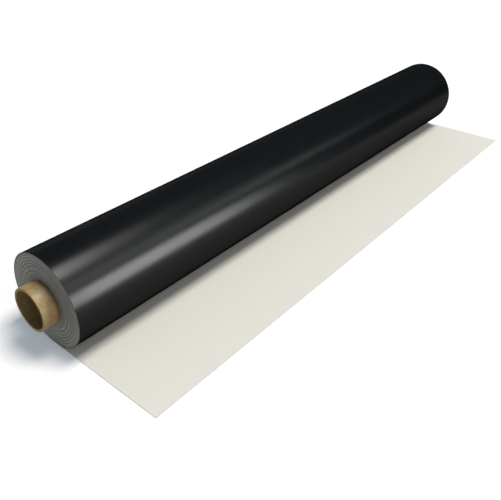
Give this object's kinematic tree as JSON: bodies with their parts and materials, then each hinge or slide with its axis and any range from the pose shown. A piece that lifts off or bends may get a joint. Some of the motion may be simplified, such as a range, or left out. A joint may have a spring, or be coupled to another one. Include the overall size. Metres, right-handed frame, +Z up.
{
  "type": "roll of thermoplastic roofing membrane",
  "caption": "Roll of thermoplastic roofing membrane on a paper core, black outside and off-white inside, with its free end unrolled flat in front of it.",
  "frame": {"origin": "on the floor, in the middle of the footprint of the roll and its unrolled tail", "axes": "+X along the roll, +Y from the tail towards the roll, +Z up"},
  "size_m": [1.914, 0.4622, 0.2403],
  "materials": {
    "sheet": "satin",
    "core": "matte"
  },
  "bodies": {
    "root": {"membrane": "sheet", "core_tube": "core"}
  },
  "joints": []
}
